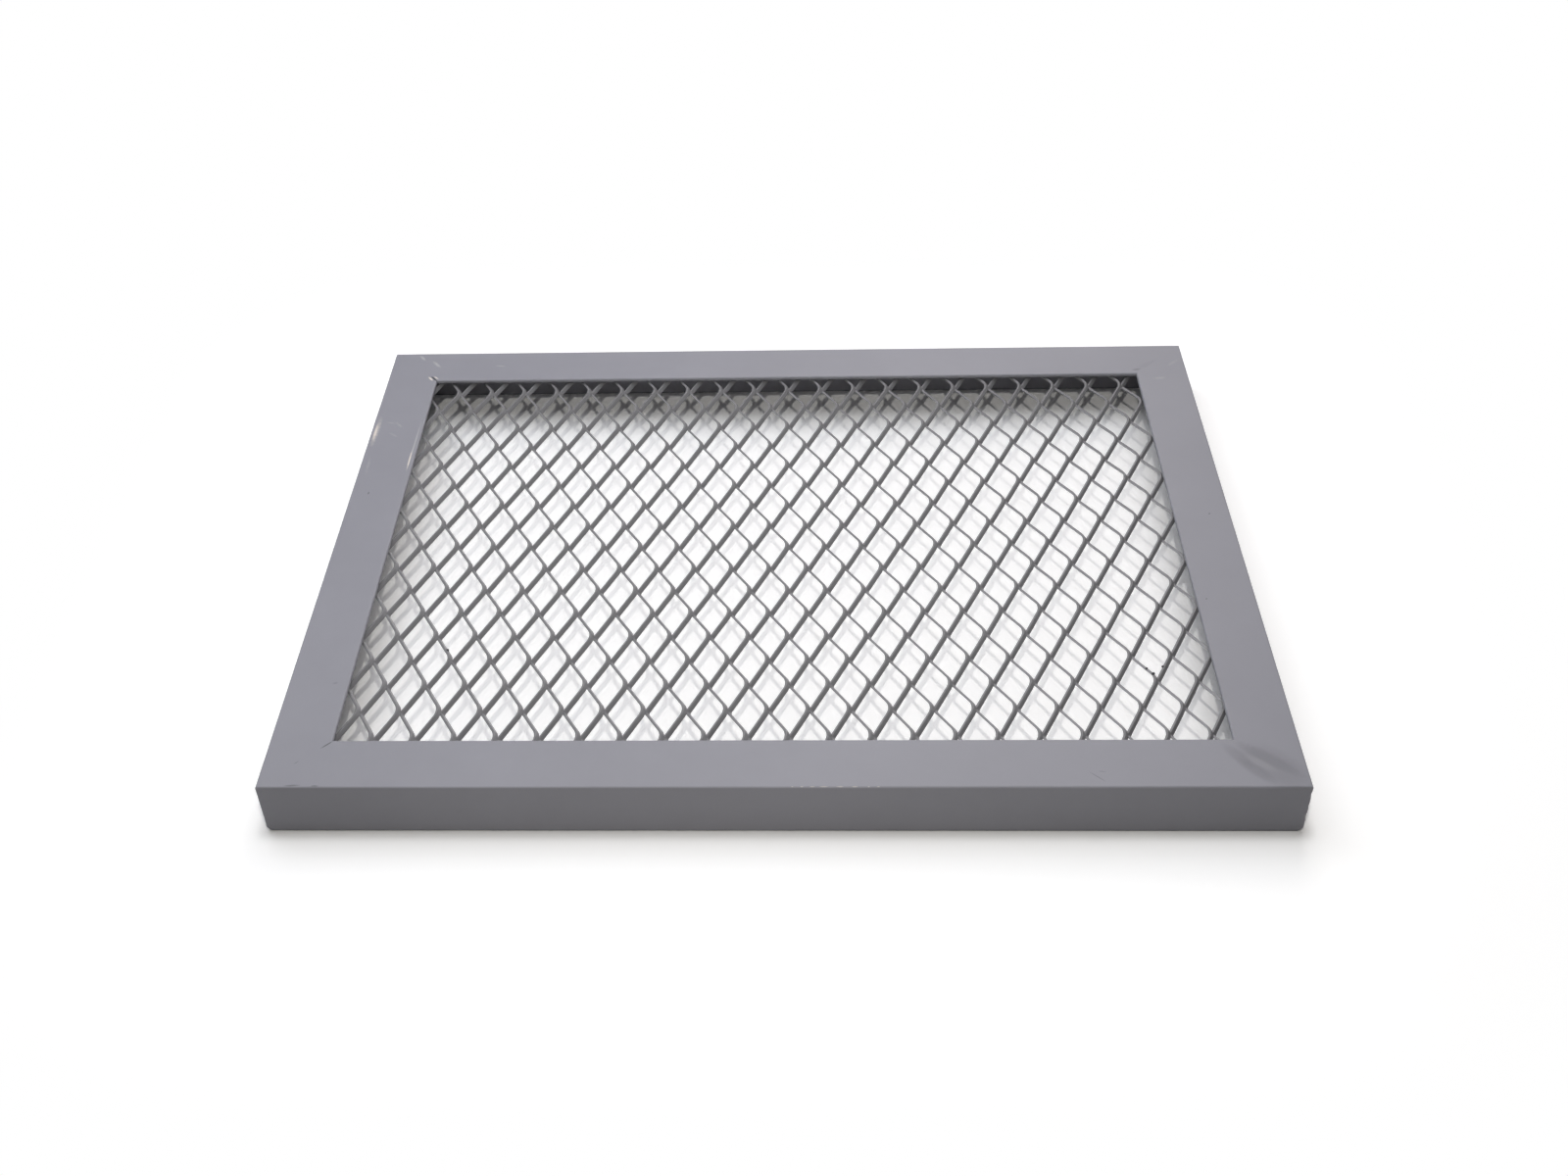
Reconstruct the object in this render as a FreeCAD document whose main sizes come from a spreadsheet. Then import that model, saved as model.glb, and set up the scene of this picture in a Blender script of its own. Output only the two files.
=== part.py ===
import FreeCAD, Part
import math
import os

# Panel of expanded metal in a welded frame of equal-leg steel angle, lying flat.
# Millimetres. X runs along the length, Y to the back, Z up from the floor.
# The origin is on the floor under the middle of the panel.

doc = FreeCAD.newDocument("expanded_metal_panel")

SIZES = {
    # frame of mitred angle: flange on top, outer leg down to the floor
    "panel_length": 609.6,
    "panel_depth": 457.2,
    "angle_leg": 38.1,
    "angle_thickness": 3.2,
    "heel_radius": 1.2,
    "toe_radius": 1.2,
    "root_radius": 3.6,
    # raised expanded sheet: pitch of the diamonds, section of a strand and its tilt in degrees
    "short_way": 25.1,
    "long_way": 45.5,
    "strand_width": 3.4,
    "strand_thickness": 1.5,
    "strand_tilt": 51.0,
    "bond_length": 4.0,
    # where the sheet lies: its lap under the flanges, its place and its slight turn in degrees
    "sheet_lap": 17.0,
    "tip_offset_x": 2.9,
    "tip_offset_y": -0.5,
    "sheet_turn": 0.42,
}

sheet = doc.addObject("Spreadsheet::Sheet", "sizes")
for row, (alias, value) in enumerate(SIZES.items(), start=1):
    sheet.set("A%d" % row, alias)
    sheet.set("B%d" % row, str(value))
    sheet.setAlias("B%d" % row, alias)
doc.recompute()


def size(alias):
    """One driving dimension, read from the spreadsheet."""
    return float(getattr(sheet, alias))


def origin_plane(body, role):
    """The body's own origin plane with this role, such as YZ_Plane."""
    return next(f for f in body.Origin.OriginFeatures if f.Role == role)


def new_sketch(body, name, role):
    """An empty sketch lying on one of the body's origin planes."""
    sketch = body.newObject("Sketcher::SketchObject", name)
    sketch.AttachmentSupport = [(origin_plane(body, role), "")]
    sketch.MapMode = "FlatFace"
    return sketch


def arc_point(centre, radius, degrees):
    """Point on a circle in the sketch plane."""
    angle = math.radians(degrees)
    return centre + FreeCAD.Vector(radius * math.cos(angle), radius * math.sin(angle), 0)


def add_angle_profile(sketch):
    """Draws the angle section: heel at the top outside, round toes, fillet in the root."""
    leg, wall = size("angle_leg"), size("angle_thickness")
    heel, toe, root = size("heel_radius"), size("toe_radius"), size("root_radius")
    # corner, radius and the two angles that its arc runs between, round the section
    corners = [
        ((toe, toe), toe, 180, 270),
        ((wall - toe, toe), toe, 270, 360),
        ((wall + root, leg - wall - root), root, 180, 90),
        ((leg - toe, leg - wall + toe), toe, 270, 360),
        ((leg - toe, leg - toe), toe, 0, 90),
        ((heel, leg - heel), heel, 90, 180),
    ]
    ends = []
    for (x, z), radius, start, stop in corners:
        centre = FreeCAD.Vector(x, z, 0)
        middle = arc_point(centre, radius, (start + stop) / 2)
        first, last = arc_point(centre, radius, start), arc_point(centre, radius, stop)
        sketch.addGeometry(Part.Arc(first, middle, last), False)
        ends.append((first, last))
    for (_, here), (there, _) in zip(ends, ends[1:] + ends[:1]):
        sketch.addGeometry(Part.LineSegment(here, there), False)


def add_mitre_triangles(sketch, half_length):
    """Draws the two corners that the 45 degree mitres take off a rail, seen from above."""
    reach = size("angle_leg") + size("angle_thickness")
    for side in (-1, 1):
        corner = FreeCAD.Vector(side * half_length, 0, 0)
        inner = FreeCAD.Vector(side * (half_length - reach), reach, 0)
        outer = FreeCAD.Vector(side * half_length, reach, 0)
        for start, stop in ((corner, inner), (inner, outer), (outer, corner)):
            sketch.addGeometry(Part.LineSegment(start, stop), False)


def make_rail(label, length_alias, offset, turn):
    """One mitred angle rail, drawn with its outer face on Y = 0 and set at its side."""
    body = doc.addObject("PartDesign::Body", label)
    body.Label = label
    profile = new_sketch(body, label + "_section", "YZ_Plane")
    add_angle_profile(profile)
    bar = body.newObject("PartDesign::Pad", label + "_bar")
    bar.Profile = profile
    bar.Midplane = True
    bar.setExpression("Length", "sizes." + length_alias)
    doc.recompute()
    mitres = new_sketch(body, label + "_mitres", "XY_Plane")
    add_mitre_triangles(mitres, size(length_alias) / 2)
    cut = body.newObject("PartDesign::Pocket", label + "_mitre_cut")
    cut.Profile = mitres
    cut.Reversed = True
    cut.setExpression("Length", "2 * sizes.angle_leg")
    body.Tip = cut
    body.Placement = FreeCAD.Placement(offset, FreeCAD.Rotation(FreeCAD.Vector(0, 0, 1), turn))
    return body


def strand_stations(first_bond, y_low, y_high):
    """Ends of the bonds along one zigzag strand: (place along Y, 0 at a left bond or 1 at a right one)."""
    half_pitch, bond = size("long_way") / 2, size("bond_length")
    first = math.floor((y_low - first_bond) / half_pitch) - 1
    last = math.ceil((y_high - first_bond) / half_pitch) + 1
    stations = []
    for index in range(first, last + 1):
        middle = first_bond + index * half_pitch
        stations += [(middle - bond / 2, index % 2), (middle + bond / 2, index % 2)]
    return stations


def strand_solid(path, through, across):
    """A strand of oblong section, with the sides through and across, that follows a path of points."""
    rings = []
    for point in path:
        corner = point - through * 0.5
        rings.append([corner, corner + through, corner + through + across, corner + across])
    outlines = [rings[0], rings[-1]]
    for here, there in zip(rings, rings[1:]):
        for side in range(len(here)):
            outlines.append([here[side], there[side], there[side - 1], here[side - 1]])
    faces = [Part.Face(Part.makePolygon(outline + outline[:1])) for outline in outlines]
    return Part.makeSolid(Part.makeShell(faces))


def make_expanded_sheet(label):
    """The raised sheet: zigzag strands side by side, joined at their bonds into one solid."""
    short_half, long_half = size("short_way") / 2, size("long_way") / 2
    thickness, tilt = size("strand_thickness"), math.radians(size("strand_tilt"))
    across = FreeCAD.Vector(math.cos(tilt), 0, -math.sin(tilt)) * size("strand_width")
    through = FreeCAD.Vector(math.sin(tilt), 0, math.cos(tilt)) * thickness
    # a strand climbs from its left bonds to its right bonds, which carry the next strand on their lower edge
    climb = FreeCAD.Vector(short_half, 0, 0) - across
    half_x = size("panel_length") / 2 - size("angle_leg") + size("sheet_lap")
    half_y = size("panel_depth") / 2 - size("angle_leg") + size("sheet_lap")
    flange_underside = size("angle_leg") - size("angle_thickness")
    middle_z = flange_underside - climb.z - through.z / 2
    sheet_height = 2 * climb.z + through.z
    blank = Part.makeBox(4 * half_x, 2 * half_y, 4 * sheet_height,
                         FreeCAD.Vector(-2 * half_x, -half_y, middle_z - 2 * sheet_height))

    tip_column_x = size("tip_offset_x") - climb.x
    first = math.ceil((-half_x - tip_column_x) / short_half)
    last = math.floor((half_x - tip_column_x) / short_half) - 1
    strands = []
    for column in range(first, last + 1):
        start = FreeCAD.Vector(tip_column_x + column * short_half, 0, middle_z)
        left_bond = size("tip_offset_y") + (column + 1) * long_half
        path = [start + climb * level + FreeCAD.Vector(0, along, 0)
                for along, level in strand_stations(left_bond, -half_y, half_y)]
        strands.append(strand_solid(path, through, across).common(blank))
    solid = strands[0].multiFuse(strands[1:]).removeSplitter()
    feature = doc.addObject("Part::Feature", label)
    feature.Label = label
    feature.Shape = solid.Solids[0]
    feature.Placement = FreeCAD.Placement(
        FreeCAD.Vector(), FreeCAD.Rotation(FreeCAD.Vector(0, 0, 1), size("sheet_turn")))
    return feature, len(solid.Solids)


half_length, half_depth = size("panel_length") / 2, size("panel_depth") / 2
parts = [
    make_rail("front_rail", "panel_length", FreeCAD.Vector(0, -half_depth, 0), 0),
    make_rail("right_rail", "panel_depth", FreeCAD.Vector(half_length, 0, 0), 90),
    make_rail("back_rail", "panel_length", FreeCAD.Vector(0, half_depth, 0), 180),
    make_rail("left_rail", "panel_depth", FreeCAD.Vector(-half_length, 0, 0), 270),
]
expanded_sheet, solid_count = make_expanded_sheet("expanded_sheet")
parts.append(expanded_sheet)
doc.recompute()

for item in doc.Objects:
    if "Invalid" in item.State or "Error" in item.State:
        raise RuntimeError("%s did not build: %s" % (item.Label, item.State))
for part in parts:
    if part.Shape.isNull() or not part.Shape.isValid():
        raise RuntimeError("%s has no valid solid" % part.Label)
if solid_count != 1:
    raise RuntimeError("the expanded sheet fell into %d solids" % solid_count)

os.makedirs("parts", exist_ok=True)
for part in parts:
    part.Shape.exportStep("parts/%s.step" % part.Label)
    box = part.Shape.BoundBox
    print("%s volume %.0f faces %d box %.2f %.2f %.2f to %.2f %.2f %.2f" % (
        part.Label, part.Shape.Volume, len(part.Shape.Faces),
        box.XMin, box.YMin, box.ZMin, box.XMax, box.YMax, box.ZMax))
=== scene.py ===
import math

import bmesh
import bpy
from mathutils import Matrix, Vector, noise


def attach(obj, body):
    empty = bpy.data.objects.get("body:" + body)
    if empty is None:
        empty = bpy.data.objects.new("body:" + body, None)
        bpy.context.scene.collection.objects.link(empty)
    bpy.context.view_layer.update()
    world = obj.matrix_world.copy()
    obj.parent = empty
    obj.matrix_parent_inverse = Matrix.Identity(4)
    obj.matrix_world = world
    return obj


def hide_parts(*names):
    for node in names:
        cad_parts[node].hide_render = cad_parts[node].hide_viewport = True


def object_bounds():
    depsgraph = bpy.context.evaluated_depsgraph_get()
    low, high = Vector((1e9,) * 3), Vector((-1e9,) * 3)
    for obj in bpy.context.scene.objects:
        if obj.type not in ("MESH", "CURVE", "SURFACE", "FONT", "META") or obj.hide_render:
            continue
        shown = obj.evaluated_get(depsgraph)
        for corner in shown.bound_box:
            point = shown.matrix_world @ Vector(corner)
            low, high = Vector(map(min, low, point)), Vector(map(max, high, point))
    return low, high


# Panel of expanded metal in a frame of painted steel angle, lying on a pale floor.
# Metres. X runs along the long rails, Y to the back, Z up from the floor.

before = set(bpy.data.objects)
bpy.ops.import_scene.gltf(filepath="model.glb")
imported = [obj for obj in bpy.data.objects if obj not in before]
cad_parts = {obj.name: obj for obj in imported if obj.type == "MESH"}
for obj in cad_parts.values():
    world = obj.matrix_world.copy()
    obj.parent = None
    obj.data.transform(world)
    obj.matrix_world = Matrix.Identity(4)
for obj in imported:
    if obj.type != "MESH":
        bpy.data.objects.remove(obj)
cad_low, cad_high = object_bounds()

MILLIMETRE = 0.001

# Frame of mitred angle: flange on top, leg down to the floor
HALF_LENGTH = cad_high.x
HALF_DEPTH = cad_high.y
LEG = cad_high.z
WALL = 0.0032
HEEL_ROUND = 0.0012
TOE_ROUND = 0.0012
ROOT_ROUND = 0.0036
EDGE_SEGMENTS = 3
ROOT_SEGMENTS = 5
OPENING_X = HALF_LENGTH - LEG
OPENING_Y = HALF_DEPTH - LEG
FLANGE_UNDERSIDE = LEG - WALL

# Outer corners: welded, ground a little unevenly and rounded at the floor.
# What lies no deeper than a little more than the grinding is on the ground strip.
CORNER_GRIND = 0.0003
GRIND_FIND = 1.01
CORNER_ROUND = 0.0062
CORNER_LEANS = (math.radians(45), math.radians(70))
CORNER_LEVELS = 19
WEAR_DEPTH = 0.0028
WEAR_BIAS = 0.1
WEAR_MOST = 0.4
WEAR_FADE = 0.004
WEAR_SEED = 59.57
WEAR_PER_CORNER = 7
WEAR_UP_CORNER = 180
WELD_RADIUS = 0.0020
WELD_INSET = 0.0024
WELD_SIDES = 10
WELD_CUTS = 18
WELD_RIPPLE = 0.15
WELD_RIPPLE_SCALE = 330

# Raised expanded sheet: pitch of the diamonds, strands and their bends, place and unevenness
SHORT_WAY = 0.0251
LONG_WAY = 0.0455
STRAND_WIDTH = 0.0034
STRAND_THICKNESS = 0.0015
STRAND_TILT = math.radians(51)
STRAND_EDGE_ROUND = 0.0003
BROAD_SIDE = 0.1
RIM_ANGLE = math.radians(60)
BOND_FLAT = 0.0014
SHARP_BEND = 0.0003
ROUND_BEND = 0.0021
ACROSS_BOND = Vector((math.cos(STRAND_TILT), 0, -math.sin(STRAND_TILT)))
CLIMB = Vector((SHORT_WAY / 2, 0, 0)) - ACROSS_BOND * STRAND_WIDTH
SHEET_LAP = 0.017
SHEET_TIP = Vector((0.0029, -0.0005, 0))
SHEET_TURN = math.radians(0.42)
SHEET_SAG = 0.0039
SAG_POWER = 1.5
SHEET_UNEVEN = 0.00035
UNEVEN_SCALE = 18
UNEVEN_SEED = 7

# Tack welds under the flanges, by column and row of the sheet's bonds, and grains of spatter
TACK_COLUMNS, TACK_OUTER_ROWS = range(-21, 22, 6), (-4.5, 4.5)
TACK_OUTER_COLUMNS, TACK_ROWS = (-22, 22), range(-4, 5, 2)
TACK_SHIFT = 0.001
TACK_DROP = 0.0011
TACK_REACH = (0.0034, 0.0042, 0.0017)
TACK_SEED = 3.7
GRAINS = (
    ((-0.2116, -0.1067, 0.0326), 0.0011),
    ((0.2266, -0.1263, 0.0335), 0.0008),
    ((0.2298, -0.1318, 0.0344), 0.0010),
    ((0.2370, -0.1239, 0.0328), 0.0008),
)
GRAIN_SEED = 5.3
BLOB_SWELL = 0.35
BLOB_SCALE = 1.7

# Paint: its colours, the drift of its tone and sheen, and the softness of its marks
PAINT = (0.281, 0.282, 0.318, 1)
# the sheet's paint is the frame's paint made darker, as painted shade on the strands
SHADED_SHEET_PAINT = (0.236, 0.234, 0.245, 1)
CHIP_DARK = (0.05, 0.05, 0.055, 1)
SMOKE = (0.165, 0.166, 0.185, 1)
# pale and warm mark colours: rubs and chips, and on the left rail also painted highlights
PALE_RUB_AND_GLINT = (0.46, 0.455, 0.47, 1)
WARM_RUB_AND_GLINT = (0.80, 0.73, 0.66, 1)
WHITE = (1, 1, 1, 1)
SATIN = 0.40
SATIN_DRIFT = 0.18
GLOSS = 0.38
MIDDLE_GREY = 0.5
CLOUD_SHARE = 0.65
CLOUD_GAIN = 4
NIB_EDGE = 0.10
NIB_CORE = 0.02
PEEL_STRENGTH = 0.12
PEEL_HEIGHT = 0.0003
MARK_EDGE = 1
MARK_CORE = 0.45
MARK_DEPTH = 0.004

# White floor: where its shadows end, its tone, and its lift for rays that look at it, a painted glow
# strongest in the opening and around the panel, weak beneath the flanges
FLOOR_REACH = 30
FLOOR_SIDES = 64
FLOOR_DROP = 0.0002
WALL_RISE = 8
SHADE_REACH = 0.20
FLOOR_TONE = 0.95
FLOOR_BOUNCE = 0.42
FLOOR_ROUGHNESS = 0.9
LIFT_OPEN = 0.225
LIFT_BENEATH = 0.015
LIFT_AROUND = 0.27
LIFT_FALL_START = -0.035
LIFT_FALL_END = 0.018
LIFT_RIM = 0.01

# Light and camera
COOL_LIGHT = (0.975, 0.99, 1.035)
WORLD_LIGHT = 0.05
CAMERA_PLACE = (0.02078, -0.90084, 0.77669)
CAMERA_YAW = math.radians(3.150)
CAMERA_PITCH = math.radians(39.715)
CAMERA_ROLL = math.radians(-2.381)
CAMERA_LENS = 39.469
CAMERA_SENSOR = 36
CAMERA_SHIFT = (0.0285, -0.0255)


# Shader helpers

COLOUR, VALUE, VECTOR = "NodeSocketColor", "NodeSocketFloat", "NodeSocketVector"


def feed(tree, socket, value):
    """Sets a node's input to a plain value, or links it to another node's output."""
    if isinstance(value, bpy.types.NodeSocket):
        tree.links.new(value, socket)
    else:
        socket.default_value = value


def new_node(tree, kind, inputs, **settings):
    """A new node with its settings, and its inputs fed by name or number."""
    node = tree.nodes.new(kind)
    for name, value in settings.items():
        setattr(node, name, value)
    for key, value in inputs.items():
        feed(tree, node.inputs[key], value)
    return node


def maths(tree, operation, *values):
    """What a Math node makes of numbers and outputs."""
    node = new_node(tree, "ShaderNodeMath", dict(enumerate(values)), operation=operation)
    return node.outputs["Value"]


def vector_maths(tree, operation, *values, result="Vector"):
    """What a Vector Math node makes of vectors and outputs."""
    node = new_node(tree, "ShaderNodeVectorMath", dict(enumerate(values)), operation=operation)
    return node.outputs[result]


def ranged(tree, value, start, stop, low, high, slope="SMOOTHSTEP"):
    """Carries a value from the range start to stop over to the range low to high."""
    inputs = {"Value": value, "From Min": start, "From Max": stop, "To Min": low, "To Max": high}
    return new_node(tree, "ShaderNodeMapRange", inputs, interpolation_type=slope).outputs["Result"]


def noise_at(tree, place, scale, detail, roughness=0.5):
    """The grey value of a noise texture."""
    inputs = {"Vector": place, "Scale": scale, "Detail": detail, "Roughness": roughness}
    return new_node(tree, "ShaderNodeTexNoise", inputs).outputs["Fac"]


def new_group(name, inputs, outputs):
    """An empty shader node group, with the sockets that bring its inputs and take its outputs."""
    group = bpy.data.node_groups.new(name, "ShaderNodeTree")
    for way, sockets in (("INPUT", inputs), ("OUTPUT", outputs)):
        for label, kind in sockets.items():
            group.interface.new_socket(label, in_out=way, socket_type=kind)
    into, out = group.nodes.new("NodeGroupInput"), group.nodes.new("NodeGroupOutput")
    return group, into.outputs, out.inputs


def place_group(tree, group, **inputs):
    """One of the shared effects in a material, with that material's own values; gives its outputs."""
    return new_node(tree, "ShaderNodeGroup", inputs, node_tree=group).outputs


def new_material(name):
    """A material with a plain Principled shader; gives it with its tree and the shader's inputs."""
    material = bpy.data.materials.new(name)
    material.use_nodes = True
    tree = material.node_tree
    return material, tree, tree.nodes["Principled BSDF"].inputs


# Paint

def paint_film_group():
    """Sprayed satin paint: cloudy tone, small nibs of dust and a fine orange peel."""
    group, into, out = new_group(
        "paint_film",
        {"Place": VECTOR, "Paint": COLOUR, "Clouding": VALUE, "Satin": VALUE, "Peel": VALUE},
        {"Color": COLOUR, "Roughness": VALUE, "Height": VALUE})
    clouds = noise_at(group, into["Place"], scale=14, detail=3, roughness=0.55)
    patches = noise_at(group, into["Place"], scale=75, detail=4, roughness=0.6)
    peel = noise_at(group, into["Place"], scale=900, detail=2)
    nibs = new_node(group, "ShaderNodeTexVoronoi", {"Vector": into["Place"], "Scale": 260})
    fine = maths(group, "MULTIPLY", patches, 1 - CLOUD_SHARE)
    mottle = maths(group, "MULTIPLY_ADD", clouds, CLOUD_SHARE, fine)
    drift = maths(group, "SUBTRACT", mottle, MIDDLE_GREY)
    clouding = maths(group, "MULTIPLY", into["Clouding"], CLOUD_GAIN)
    tone = maths(group, "MULTIPLY_ADD", drift, clouding, 1)
    nib = ranged(group, nibs.outputs["Distance"], NIB_EDGE, NIB_CORE, 0, 1)
    feed(group, out["Color"], vector_maths(group, "MULTIPLY", into["Paint"], tone))
    feed(group, out["Roughness"], maths(group, "MULTIPLY_ADD", patches, SATIN_DRIFT, into["Satin"]))
    feed(group, out["Height"], maths(group, "MULTIPLY_ADD", peel, into["Peel"], nib))
    return group


def rub_and_glint_mark_group():
    """A long soft mark on the paint: a turned ellipse with a ragged edge, as a mask."""
    group, into, out = new_group(
        "rub_and_glint_mark",
        {"Place": VECTOR, "Middle": VECTOR, "Turn": VECTOR, "Reach": VECTOR,
         "Ragged": VALUE, "Strength": VALUE},
        {"Mask": VALUE})
    ellipse = {"Vector": into["Place"], "Location": into["Middle"], "Rotation": into["Turn"],
               "Scale": into["Reach"]}
    local = new_node(group, "ShaderNodeMapping", ellipse, vector_type="TEXTURE")
    span = vector_maths(group, "LENGTH", local.outputs["Vector"], result="Value")
    grain = noise_at(group, into["Place"], scale=420, detail=4, roughness=0.7)
    edge = maths(group, "ADD", span, maths(group, "MULTIPLY", grain, into["Ragged"]))
    feed(group, out["Mask"], ranged(group, edge, MARK_EDGE, MARK_CORE, 0, into["Strength"]))
    return group


PAINT_FILM = paint_film_group()
RUB_AND_GLINT_MARK = rub_and_glint_mark_group()


def streak(start, stop, half_width, colour, strength, ragged=0.5):
    """A mark between two places on the top, in millimetres along X and Y: its colour and its shape."""
    start, stop = Vector(start) * MILLIMETRE, Vector(stop) * MILLIMETRE
    middle, run = (start + stop) / 2, stop - start
    half_width *= MILLIMETRE
    shape = {"Middle": (middle.x, middle.y, LEG), "Turn": (0, 0, math.atan2(run.y, run.x)),
             "Reach": (run.length / 2 + half_width, half_width, MARK_DEPTH),
             "Ragged": ragged, "Strength": strength}
    return colour, shape


def painted_metal(name, paint, clouding, peel, marks=(), satin=SATIN, gloss=GLOSS):
    """Satin paint on steel, with the rubs, smears, chips and painted highlights that the list of marks
    gives.
    """
    material, tree, shader = new_material(name)
    place = tree.nodes.new("ShaderNodeTexCoord").outputs["Object"]
    film = place_group(tree, PAINT_FILM, Place=place, Paint=paint, Clouding=clouding,
                       Satin=satin, Peel=peel)
    colour = film["Color"]
    for mark_colour, shape in marks:
        rub_and_glint = place_group(tree, RUB_AND_GLINT_MARK, Place=place, **shape)
        layers = {"Fac": rub_and_glint["Mask"], "Color1": colour, "Color2": mark_colour}
        colour = new_node(tree, "ShaderNodeMixRGB", layers).outputs["Color"]
    relief = {"Strength": PEEL_STRENGTH, "Distance": PEEL_HEIGHT, "Height": film["Height"]}
    bump = new_node(tree, "ShaderNodeBump", relief)
    shader["Specular IOR Level"].default_value = gloss
    feed(tree, shader["Base Color"], colour)
    feed(tree, shader["Roughness"], film["Roughness"])
    feed(tree, shader["Normal"], bump.outputs["Normal"])
    return material


# Marks on each rail: open ends of mitres, weld smoke left under the paint, rubs, chips and specks, and on
# the left rail painted highlights along its outer edge and inner toe

MITRE_SMEAR = streak((266.0, -192.0), (301.5, -221.0), 6.5, SMOKE, 0.36, 0.25)
MITRE_SHADE = streak((274.0, -203.0), (298.0, -223.0), 18.0, SMOKE, 0.34, 0.2)
MITRE_GAP = streak((-266.2, 189.4), (-272.2, 196.8), 1.0, CHIP_DARK, 1.0, 0.1)
HEEL_CHIPS = tuple(streak((x, -227.9), (x + run, -227.9), 0.45, WARM_RUB_AND_GLINT, 0.5, 0.4)
                   for x, run in ((8, 1), (13, 2), (18, 4), (23, 7), (33, 6), (42, 5), (52, 1), (57, 2)))
FRONT_MARKS = (
    MITRE_SHADE,
    MITRE_SMEAR,
    streak((-265.6, -190.4), (-273.4, -198.1), 0.6, CHIP_DARK, 0.85, 0.2),
    streak((-283.5, -207.3), (-286.0, -210.1), 0.6, SMOKE, 0.9, 0.3),
    streak((-290.0, -227.2), (-276.5, -226.6), 1.3, SMOKE, 0.9),
    streak((-272.6, -227.3), (-266.5, -227.3), 1.1, SMOKE, 0.9),
    streak((261.0, -196.5), (273.0, -213.0), 6.0, SMOKE, 0.30, 0.25),
    streak((267.0, -207.5), (284.0, -225.0), 6.0, SMOKE, 0.30, 0.25),
    streak((270.0, -203.0), (287.0, -217.0), 4.2, PALE_RUB_AND_GLINT, 0.12, 0.3),
    *HEEL_CHIPS,
    streak((178.0, -215.2), (189.6, -225.7), 0.5, SMOKE, 0.7, 0.3),
    streak((184.0, -216.0), (190.0, -216.8), 0.5, SMOKE, 0.6, 0.3),
)
RIGHT_MARKS = (
    MITRE_SHADE,
    MITRE_SMEAR,
    streak((277.5, 183.2), (289.0, 185.0), 3.4, PALE_RUB_AND_GLINT, 0.22, 0.7),
    streak((288.7, 198.0), (303.0, 210.5), 3.0, PALE_RUB_AND_GLINT, 0.16, 0.7),
    streak((290.4, 20.2), (291.0, 20.6), 0.8, CHIP_DARK, 0.7, 0.2),
    streak((272.9, -67.1), (273.3, -66.7), 0.7, CHIP_DARK, 0.6, 0.2),
)
BACK_MARKS = (
    streak((268.0, 198.0), (292.0, 208.5), 6.0, SMOKE, 0.16, 0.3),
    streak((264.0, 194.6), (270.5, 196.6), 2.6, SMOKE, 0.6, 0.5),
    streak((-265.0, 191.5), (-270.6, 197.4), 1.5, WARM_RUB_AND_GLINT, 0.8, 0.7),
    MITRE_GAP,
    streak((-286.0, 226.4), (-279.6, 217.6), 2.6, PALE_RUB_AND_GLINT, 0.75, 0.7),
    streak((-276.0, 219.8), (-264.6, 206.0), 2.8, PALE_RUB_AND_GLINT, 0.75, 0.7),
    streak((-226.0, 210.6), (-214.0, 209.1), 1.6, PALE_RUB_AND_GLINT, 0.45, 0.6),
)
LEFT_MARKS = (
    streak((-274.4, 196.4), (-269.6, 190.2), 1.7, WARM_RUB_AND_GLINT, 0.95, 0.6),
    MITRE_GAP,
    # painted highlight: a warm glint along the left rail's outer edge
    streak((-300.6, 152.0), (-301.4, 96.0), 3.6, WARM_RUB_AND_GLINT, 0.34, 0.6),
    streak((-301.6, 140.0), (-301.4, 108.0), 1.9, WARM_RUB_AND_GLINT, 0.75, 0.6),
    streak((-300.0, 104.0), (-298.0, 62.0), 3.4, PALE_RUB_AND_GLINT, 0.30, 1.0),
    # painted highlight: a bright line along the left rail's inner toe
    streak((-269.3, 148.0), (-270.0, 66.0), 0.8, PALE_RUB_AND_GLINT, 0.8, 0.3),
    streak((-270.2, 106.0), (-269.9, 72.0), 1.0, WARM_RUB_AND_GLINT, 0.8, 0.4),
    streak((-297.0, 137.0), (-286.5, 133.5), 2.4, PALE_RUB_AND_GLINT, 0.36, 0.9),
    streak((-292.4, 140.0), (-279.0, 125.6), 2.4, PALE_RUB_AND_GLINT, 0.34, 0.9),
    streak((-294.0, 124.4), (-281.0, 115.8), 2.6, PALE_RUB_AND_GLINT, 0.26, 0.9),
    streak((-292.4, 49.0), (-292.3, 51.6), 0.9, CHIP_DARK, 0.55, 0.3),
    streak((-276.5, -142.0), (-274.5, -141.4), 1.6, SMOKE, 0.4, 0.4),
)


# Mesh helpers

def everything(bm):
    """All that a bmesh holds, for operators that take vertices, edges and faces together."""
    return bm.verts[:] + bm.edges[:] + bm.faces[:]


def new_verts(made):
    """The vertices among what an operator made."""
    return [item for item in made["geom"] if isinstance(item, bmesh.types.BMVert)]


def bevel_edges(bm, edges, width, segments, clamp=False):
    """Rounds edges evenly; a clamped bevel stops where it would run into another."""
    bmesh.ops.bevel(bm, geom=edges, offset=width, offset_type="OFFSET", segments=segments,
                    profile=0.5, affect="EDGES", clamp_overlap=clamp, material=-1)


def new_mesh(name, bm, material):
    """Turns a bmesh into a mesh with one material."""
    mesh = bpy.data.meshes.new(name)
    bm.to_mesh(mesh)
    bm.free()
    mesh.materials.append(material)
    return mesh


def put(name, data):
    """A new object in the scene that holds a mesh, a lamp or a camera."""
    thing = bpy.data.objects.new(name, data)
    bpy.context.scene.collection.objects.link(thing)
    return thing


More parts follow.
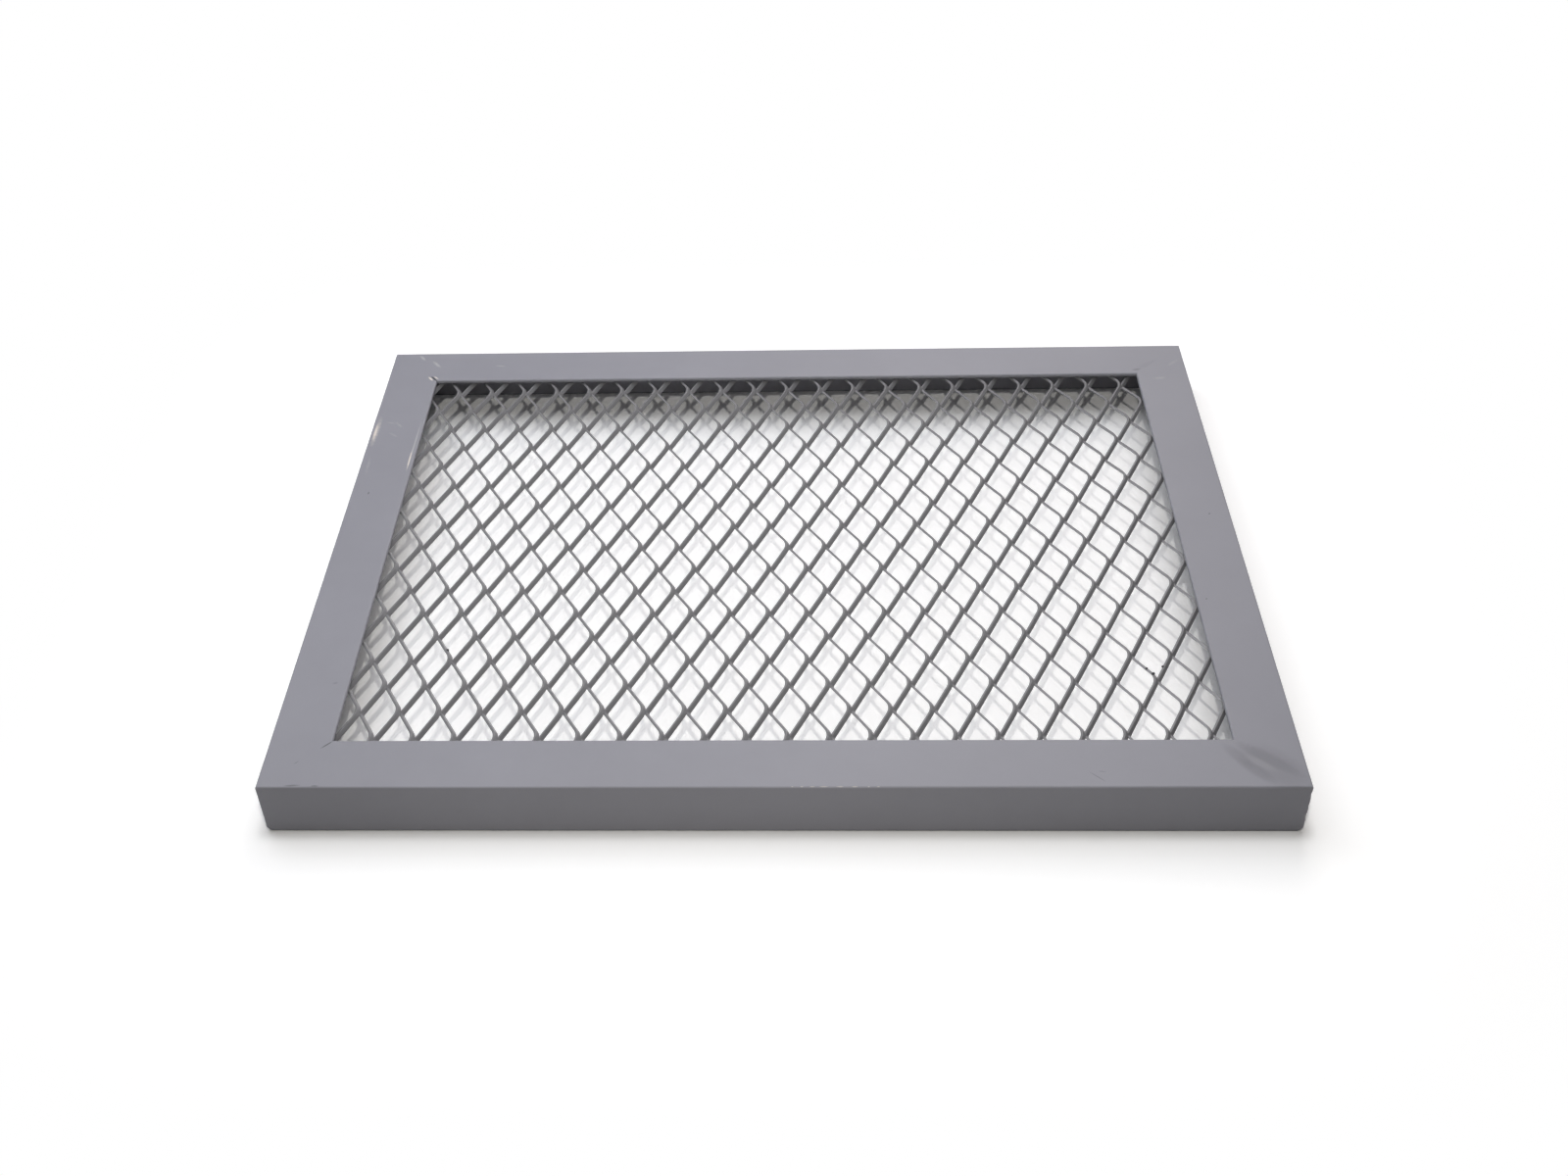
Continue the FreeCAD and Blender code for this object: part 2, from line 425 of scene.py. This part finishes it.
def finish_piece(name, bm, material, slot, *nodes, smooth_angle=35):
    """Makes a bmesh a piece of the panel, in place of the CAD nodes that it stands for."""
    mesh = new_mesh(name, bm, material)
    mesh.shade_smooth()
    mesh.set_sharp_from_angle(angle=math.radians(smooth_angle))
    piece = put(name, mesh)
    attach(piece, "root")
    if nodes:
        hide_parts(*nodes)
    flats = piece.modifiers.new("flat_faces", "WEIGHTED_NORMAL")
    flats.keep_sharp = True


# Rails

def round_corner(bm, corner, radius, segments):
    """Rounds the long edge of a straight bar that runs through one corner of its section."""
    edges = []
    for edge in bm.edges:
        start, stop = edge.verts
        along = abs(start.co.x - stop.co.x) > WALL
        apart = math.hypot(start.co.y - corner[0], start.co.z - corner[1])
        if along and apart < WALL / 10:
            edges.append(edge)
    bevel_edges(bm, edges, radius, segments)


def cut_away(bm, point, outward):
    """Cuts the bar with a plane, drops what lies outward of it and closes the cut."""
    cut = bmesh.ops.bisect_plane(bm, geom=everything(bm), plane_co=point, plane_no=outward,
                                 clear_outer=True)
    edges = [item for item in cut["geom_cut"] if isinstance(item, bmesh.types.BMEdge)]
    bmesh.ops.contextual_create(bm, geom=edges)


def wear_corners(bm, half_length, to_panel):
    """Makes the ground outer corners of a mitred bar lumpy; rails that meet at a corner wear alike."""
    for level in range(1, CORNER_LEVELS):
        bmesh.ops.bisect_plane(bm, geom=everything(bm), plane_co=(0, 0, LEG * level / CORNER_LEVELS),
                               plane_no=(0, 0, 1))
    for vert in bm.verts:
        ground = abs(vert.co.x) - vert.co.y > half_length - GRIND_FIND * CORNER_GRIND
        below_top = FLANGE_UNDERSIDE - vert.co.z
        if not (ground and CORNER_ROUND < vert.co.z and below_top > 0):
            continue
        side = math.copysign(1, vert.co.x)
        corner = to_panel @ Vector((side * half_length, 0, 0))
        lump = noise.noise(Vector((corner.x * WEAR_PER_CORNER + WEAR_SEED, corner.y * WEAR_PER_CORNER,
                                   vert.co.z * WEAR_UP_CORNER)))
        wear = WEAR_DEPTH * min(WEAR_MOST, max(0.0, lump + WEAR_BIAS))
        depth = CORNER_GRIND + wear * min(1.0, below_top / WEAR_FADE)
        on_mitre = vert.co.y > CORNER_GRIND / 10
        vert.co.x = side * (half_length - (depth / 2 if on_mitre else depth))
        vert.co.y = depth / 2 if on_mitre else 0


def angle_rail(name, half_length, place, turn, material):
    """One rail of rolled angle, mitred at both ends, with its outer corners ground after welding."""
    section = ((0, 0), (WALL, 0), (WALL, LEG - WALL), (LEG, LEG - WALL), (LEG, LEG), (0, LEG))
    outer_toe, inner_toe, root, lower_toe, upper_toe, heel = section
    bm = bmesh.new()
    end = bm.faces.new([bm.verts.new((-half_length - LEG, y, z)) for y, z in section])
    bar = bmesh.ops.extrude_face_region(bm, geom=[end])
    bmesh.ops.translate(bm, verts=new_verts(bar), vec=(2 * (half_length + LEG), 0, 0))
    bmesh.ops.recalc_face_normals(bm, faces=bm.faces)
    for toe in (outer_toe, inner_toe, lower_toe, upper_toe):
        round_corner(bm, toe, TOE_ROUND, EDGE_SEGMENTS)
    round_corner(bm, root, ROOT_ROUND, ROOT_SEGMENTS)
    round_corner(bm, heel, HEEL_ROUND, EDGE_SEGMENTS)
    for side in (-1, 1):
        cut_away(bm, (side * half_length, 0, 0), (side, 1, 0))
        cut_away(bm, (side * (half_length - CORNER_GRIND), 0, 0), (side, -1, 0))
        for lean in CORNER_LEANS:
            inset = CORNER_ROUND * (1 - math.cos(lean))
            rise = CORNER_ROUND * (1 - math.sin(lean))
            cut_away(bm, (side * (half_length - inset), 0, rise),
                     (side * math.cos(lean), -math.cos(lean), -math.sin(lean)))
    to_panel = Matrix.Translation(place) @ Matrix.Rotation(math.radians(turn), 4, "Z")
    wear_corners(bm, half_length, to_panel)
    bmesh.ops.transform(bm, verts=bm.verts, matrix=to_panel)
    bmesh.ops.recalc_face_normals(bm, faces=bm.faces)
    finish_piece(name + "_angle", bm, material, "frame_paint", name)


def corner_weld(name, side_x, side_y, seed, material):
    """The weld that closes a corner's two legs: a rippled bead from the foot nearly to the top."""
    height = LEG - CORNER_ROUND - 2 * WALL
    bm = bmesh.new()
    bmesh.ops.create_cone(bm, cap_ends=True, segments=WELD_SIDES, radius1=WELD_RADIUS,
                          radius2=WELD_RADIUS, depth=height)
    upright = [edge for edge in bm.edges if abs(edge.verts[0].co.z - edge.verts[1].co.z) > height / 2]
    bmesh.ops.subdivide_edges(bm, edges=upright, cuts=WELD_CUTS)
    for vert in bm.verts:
        swell = 1 + WELD_RIPPLE * noise.noise(Vector((seed, 0, vert.co.z * WELD_RIPPLE_SCALE)))
        vert.co.x *= swell
        vert.co.y *= swell
    bmesh.ops.translate(bm, verts=bm.verts,
                        vec=(side_x * (HALF_LENGTH - WELD_INSET), side_y * (HALF_DEPTH - WELD_INSET),
                             CORNER_ROUND + height / 2))
    bmesh.ops.recalc_face_normals(bm, faces=bm.faces)
    finish_piece(name, bm, material, "frame_paint")


# Expanded sheet

def strand_ribbon():
    """One period of a strand as a ribbon: from a left bond up to the right bonds before and after it."""
    sharp_end = BOND_FLAT / 2 + SHARP_BEND
    round_start = LONG_WAY / 2 - BOND_FLAT / 2 - ROUND_BEND
    stations = ((0, 0), (sharp_end, 0), (round_start, 1), (LONG_WAY / 2, 1))
    bm = bmesh.new()
    line = [bm.verts.new(CLIMB * level + Vector((0, along, 0))) for along, level in stations]
    edges = [bm.edges.new(pair) for pair in zip(line, line[1:])]
    wide = bmesh.ops.extrude_edge_only(bm, edges=edges)
    bmesh.ops.translate(bm, verts=new_verts(wide), vec=ACROSS_BOND * STRAND_WIDTH)
    for along, bend, segments in ((sharp_end, SHARP_BEND, 1), (round_start, ROUND_BEND, 2)):
        creases = [edge for edge in bm.edges
                   if len(edge.link_faces) == 2 and abs(edge.verts[0].co.y - along) < BOND_FLAT / 10]
        bevel_edges(bm, creases, bend, segments)
    twin = bmesh.ops.duplicate(bm, geom=everything(bm))
    bmesh.ops.scale(bm, verts=new_verts(twin), vec=(1, -1, 1))
    return bm


def repeat_along(bm, step, count):
    """Copies what the bmesh holds, count times in all; step gives each copy's offset by its number."""
    original = everything(bm)
    for index in range(1, count):
        copy = bmesh.ops.duplicate(bm, geom=original)
        bmesh.ops.translate(bm, verts=new_verts(copy), vec=step(index))


def lay_strands(half_x, half_y):
    """Ribbons side by side, merged along their bonds and cut off at the front and the back."""
    # an odd number of rows, so that the middle one lies on the panel's middle
    rows = 2 * (math.ceil(half_y / LONG_WAY) + 1) + 1
    first_x = SHEET_TIP.x - CLIMB.x
    first = math.ceil((-half_x - first_x) / (SHORT_WAY / 2))
    last = math.floor((half_x - first_x) / (SHORT_WAY / 2)) - 1
    bm = strand_ribbon()
    repeat_along(bm, lambda index: (0, index * LONG_WAY, 0), rows)
    repeat_along(bm, lambda index: (index * SHORT_WAY / 2, (index % 2) * LONG_WAY / 2, 0), last - first + 1)
    bmesh.ops.remove_doubles(bm, verts=bm.verts, dist=STRAND_THICKNESS / 100)
    start_y = SHEET_TIP.y + ((first + 1) % 2 - rows + 1) * LONG_WAY / 2
    middle_z = FLANGE_UNDERSIDE - CLIMB.z - STRAND_THICKNESS / 2 * math.cos(STRAND_TILT)
    bmesh.ops.translate(bm, verts=bm.verts, vec=(first_x + first * SHORT_WAY / 2, start_y, middle_z))
    for side in (-1, 1):
        bmesh.ops.bisect_plane(bm, geom=everything(bm), plane_co=(0, side * half_y, 0),
                               plane_no=(0, side, 0), clear_outer=True)
    return bm


def settle(point):
    """Where a point of the flat sheet comes to lie: turned a little, uneven and sagging in the middle."""
    turned = Matrix.Rotation(SHEET_TURN, 4, "Z") @ point
    drift = noise.noise_vector(turned * UNEVEN_SCALE) * SHEET_UNEVEN
    bow_x = max(0.0, 1 - (turned.x / OPENING_X) ** 2)
    bow_y = max(0.0, 1 - (turned.y / OPENING_Y) ** 2)
    return turned + Vector((drift.x, drift.y, -SHEET_SAG * (bow_x * bow_y) ** SAG_POWER))


def expanded_sheet(material):
    """The sheet: strands that settle into place, get their thickness and lose their sharp rims."""
    bm = lay_strands(OPENING_X + SHEET_LAP, OPENING_Y + SHEET_LAP)
    for vert in bm.verts:
        vert.co = settle(vert.co)
    bmesh.ops.recalc_face_normals(bm, faces=bm.faces)
    bm.normal_update()
    for vert in bm.verts:
        vert.co -= vert.normal * STRAND_THICKNESS / 2
    bmesh.ops.solidify(bm, geom=bm.faces[:], thickness=-STRAND_THICKNESS)
    bmesh.ops.recalc_face_normals(bm, faces=bm.faces)
    broad = {face for face in bm.faces if min(face.normal.x, face.normal.z) > BROAD_SIDE}
    rims = [edge for edge in bm.edges
            if edge.calc_face_angle(0) > RIM_ANGLE and not broad.isdisjoint(edge.link_faces)]
    bevel_edges(bm, rims, STRAND_EDGE_ROUND, 1, clamp=True)
    finish_piece("expanded_sheet_mesh", bm, material, "sheet_paint", "expanded_sheet", smooth_angle=50)


def blob(bm, place, reach, seed):
    """A small uneven lump of weld metal, with its half sizes along X, Y and Z."""
    lump = bmesh.ops.create_icosphere(bm, subdivisions=2, radius=1)
    for vert in lump["verts"]:
        swell = 1 + BLOB_SWELL * noise.noise(vert.co * BLOB_SCALE + Vector((seed, 0, 0)))
        vert.co = Vector(place) + Vector([along * half for along, half in zip(vert.co * swell, reach)])


def sheet_tacks(material):
    """The tack welds that hold bonds of the sheet's edge against the undersides of the flanges."""
    bonds = [(column, row) for column in TACK_COLUMNS for row in TACK_OUTER_ROWS]
    bonds += [(column, row) for column in TACK_OUTER_COLUMNS for row in TACK_ROWS]
    bm = bmesh.new()
    for number, (column, row) in enumerate(bonds):
        bond = Vector((column * SHORT_WAY / 2 + TACK_SHIFT, row * LONG_WAY, 0))
        place = settle(SHEET_TIP + bond)
        place.z = FLANGE_UNDERSIDE - TACK_DROP
        blob(bm, place, TACK_REACH, number * TACK_SEED)
    finish_piece("sheet_tack_welds", bm, material, "sheet_paint", smooth_angle=60)


def spatter(material):
    """Grains of black weld spatter that stuck to the strands."""
    bm = bmesh.new()
    for number, (place, size) in enumerate(GRAINS):
        blob(bm, place, (size, size, size), number * GRAIN_SEED)
    finish_piece("weld_spatter", bm, material, "sheet_paint", smooth_angle=60)


# Stage, light and camera

def floor_material():
    """White floor: shadows near the panel, plain white away from it, little light thrown back up, and a
    painted glow that lifts it where it is looked at.
    """
    material, tree, shader = new_material("white_floor")

    # rays that show the floor itself, straight, in gloss or through glass
    path = tree.nodes.new("ShaderNodeLightPath").outputs
    seen = maths(tree, "ADD", path["Is Camera Ray"], path["Is Glossy Ray"])
    seen = maths(tree, "ADD", seen, path["Is Transmission Ray"])

    # how far the floor lies outside the panel's outline, where it turns from lit to plain white
    place = tree.nodes.new("ShaderNodeTexCoord").outputs["Object"]
    reach = vector_maths(tree, "ABSOLUTE", place)
    past = vector_maths(tree, "SUBTRACT", reach, (HALF_LENGTH, HALF_DEPTH, 0))
    outside = vector_maths(tree, "MAXIMUM", past, (0, 0, 0))
    span = vector_maths(tree, "LENGTH", outside, result="Value")
    open_seen = maths(tree, "MULTIPLY", ranged(tree, span, 0, SHADE_REACH, 0, 1), seen)
    tone = ranged(tree, seen, 0, 1, FLOOR_BOUNCE, FLOOR_TONE, "LINEAR")
    base = maths(tree, "MULTIPLY", tone, maths(tree, "SUBTRACT", 1, open_seen))

    # painted light: a glow that lifts the floor where it is looked at, in the middle, less beneath the
    # flanges, more outside
    inside = vector_maths(tree, "SUBTRACT", reach, (OPENING_X, OPENING_Y, 0))
    axes = new_node(tree, "ShaderNodeSeparateXYZ", {"Vector": inside}).outputs
    beneath = maths(tree, "MAXIMUM", axes["X"], axes["Y"])
    lift = ranged(tree, beneath, LIFT_FALL_START, LIFT_FALL_END, LIFT_OPEN, LIFT_BENEATH)
    lift = ranged(tree, span, 0, LIFT_RIM, lift, LIFT_AROUND)
    glow = ranged(tree, open_seen, 0, 1, maths(tree, "MULTIPLY", lift, seen), 1, "LINEAR")

    shader["Roughness"].default_value = FLOOR_ROUGHNESS
    shader["Specular IOR Level"].default_value = 0
    shader["Emission Color"].default_value = WHITE
    feed(tree, shader["Base Color"], base)
    feed(tree, shader["Emission Strength"], glow)
    return material


def lay_floor():
    """A wide plain floor under the panel, with a low wall far around it."""
    bm = bmesh.new()
    bmesh.ops.create_circle(bm, cap_ends=True, segments=FLOOR_SIDES, radius=FLOOR_REACH)
    rim = [edge for edge in bm.edges if edge.is_boundary]
    wall = bmesh.ops.extrude_edge_only(bm, edges=rim)
    bmesh.ops.translate(bm, verts=new_verts(wall), vec=(0, 0, WALL_RISE))
    floor = put("floor", new_mesh("floor", bm, floor_material()))
    floor.location.z = cad_low.z - FLOOR_DROP


def hang_lamp(name, place, aim, size, power, colour, spread=180):
    """A square soft lamp that points at a spot, with the spread of its beam in degrees."""
    data = bpy.data.lights.new(name, "AREA")
    data.size = size
    data.energy = power
    data.color = colour
    data.spread = math.radians(spread)
    lamp = put(name, data)
    lamp.location = place
    lamp.rotation_euler = (Vector(aim) - Vector(place)).to_track_quat("-Z", "Y").to_euler()


def light_studio():
    """Broad lamps above, at the left and behind, a small one near the camera and a weak low fill."""
    hang_lamp("lamp_over", place=(-0.06, 0.28, 1.15), aim=(0.02, 0.05, 0),
              size=1.2, power=8.3, colour=COOL_LIGHT)
    hang_lamp("lamp_side", place=(-0.75, 0.35, 1.0), aim=(0, 0.05, 0),
              size=0.8, power=3.3, colour=COOL_LIGHT)
    hang_lamp("lamp_back", place=(0.36, 1.5, 1.3), aim=(0.05, 0, 0),
              size=0.9, power=10.6, colour=(1, 0.93, 0.89))
    hang_lamp("lamp_front", place=(0.025, -0.78, 1.15), aim=(0, 0, 0),
              size=0.035, power=4.6, colour=(1, 0.97, 0.91))
    hang_lamp("lamp_fill", place=(-0.06, -1.3, 0.40), aim=(-0.03, -0.22, 0.02),
              size=0.5, power=0.13, colour=(1, 0.95, 0.87), spread=35)
    world = bpy.data.worlds.new("studio")
    bpy.context.scene.world = world
    world.use_nodes = True
    background = world.node_tree.nodes["Background"]
    background.inputs["Color"].default_value = WHITE
    background.inputs["Strength"].default_value = WORLD_LIGHT
    bpy.context.scene.view_settings.view_transform = "Standard"


def set_camera():
    """The photograph's view: nearly straight on, a little from the right, down over the front rail."""
    flat = math.cos(CAMERA_PITCH)
    back = Vector((math.sin(CAMERA_YAW) * flat, -math.cos(CAMERA_YAW) * flat, math.sin(CAMERA_PITCH)))
    level = Vector((math.cos(CAMERA_YAW), math.sin(CAMERA_YAW), 0))
    rise = back.cross(level)
    right = level * math.cos(CAMERA_ROLL) + rise * math.sin(CAMERA_ROLL)
    up = rise * math.cos(CAMERA_ROLL) - level * math.sin(CAMERA_ROLL)
    data = bpy.data.cameras.new("camera")
    data.sensor_width = CAMERA_SENSOR
    data.lens = CAMERA_LENS
    data.shift_x, data.shift_y = CAMERA_SHIFT
    camera = put("camera", data)
    turn = Matrix((right, up, back)).transposed().to_4x4()
    camera.matrix_world = Matrix.Translation(CAMERA_PLACE) @ turn
    bpy.context.scene.camera = camera


RAILS = (
    ("front_rail", HALF_LENGTH, (0, -HALF_DEPTH, 0), 0, FRONT_MARKS),
    ("right_rail", HALF_DEPTH, (HALF_LENGTH, 0, 0), 90, RIGHT_MARKS),
    ("back_rail", HALF_LENGTH, (0, HALF_DEPTH, 0), 180, BACK_MARKS),
    ("left_rail", HALF_DEPTH, (-HALF_LENGTH, 0, 0), 270, LEFT_MARKS),
)
CORNER_WELDS = (
    ("front_left_weld", -1, -1, 3.1),
    ("front_right_weld", 1, -1, 5.7),
    ("back_left_weld", -1, 1, 8.2),
    ("back_right_weld", 1, 1, 11.4),
)

# The sheet lies equally uneven on every run
noise.seed_set(UNEVEN_SEED)

weld_paint = painted_metal("weld_paint", PAINT, clouding=0.08, peel=0.8)
for name, half_length, place, turn, marks in RAILS:
    rail_paint = painted_metal(name + "_paint", PAINT, clouding=0.05, peel=0.5, marks=marks)
    angle_rail(name, half_length, place, turn, rail_paint)
for name, side_x, side_y, seed in CORNER_WELDS:
    corner_weld(name, side_x, side_y, seed, weld_paint)
# the sheet gets the frame's paint made darker: painted shade on the strands
sheet_paint = painted_metal("sheet_paint", SHADED_SHEET_PAINT, clouding=0.05, peel=0.4, satin=0.22, gloss=0.5)
expanded_sheet(sheet_paint)
sheet_tacks(weld_paint)
spatter_crust = painted_metal("spatter_crust", CHIP_DARK, clouding=0.2, peel=1.0)
spatter(spatter_crust)

lay_floor()
light_studio()
set_camera()
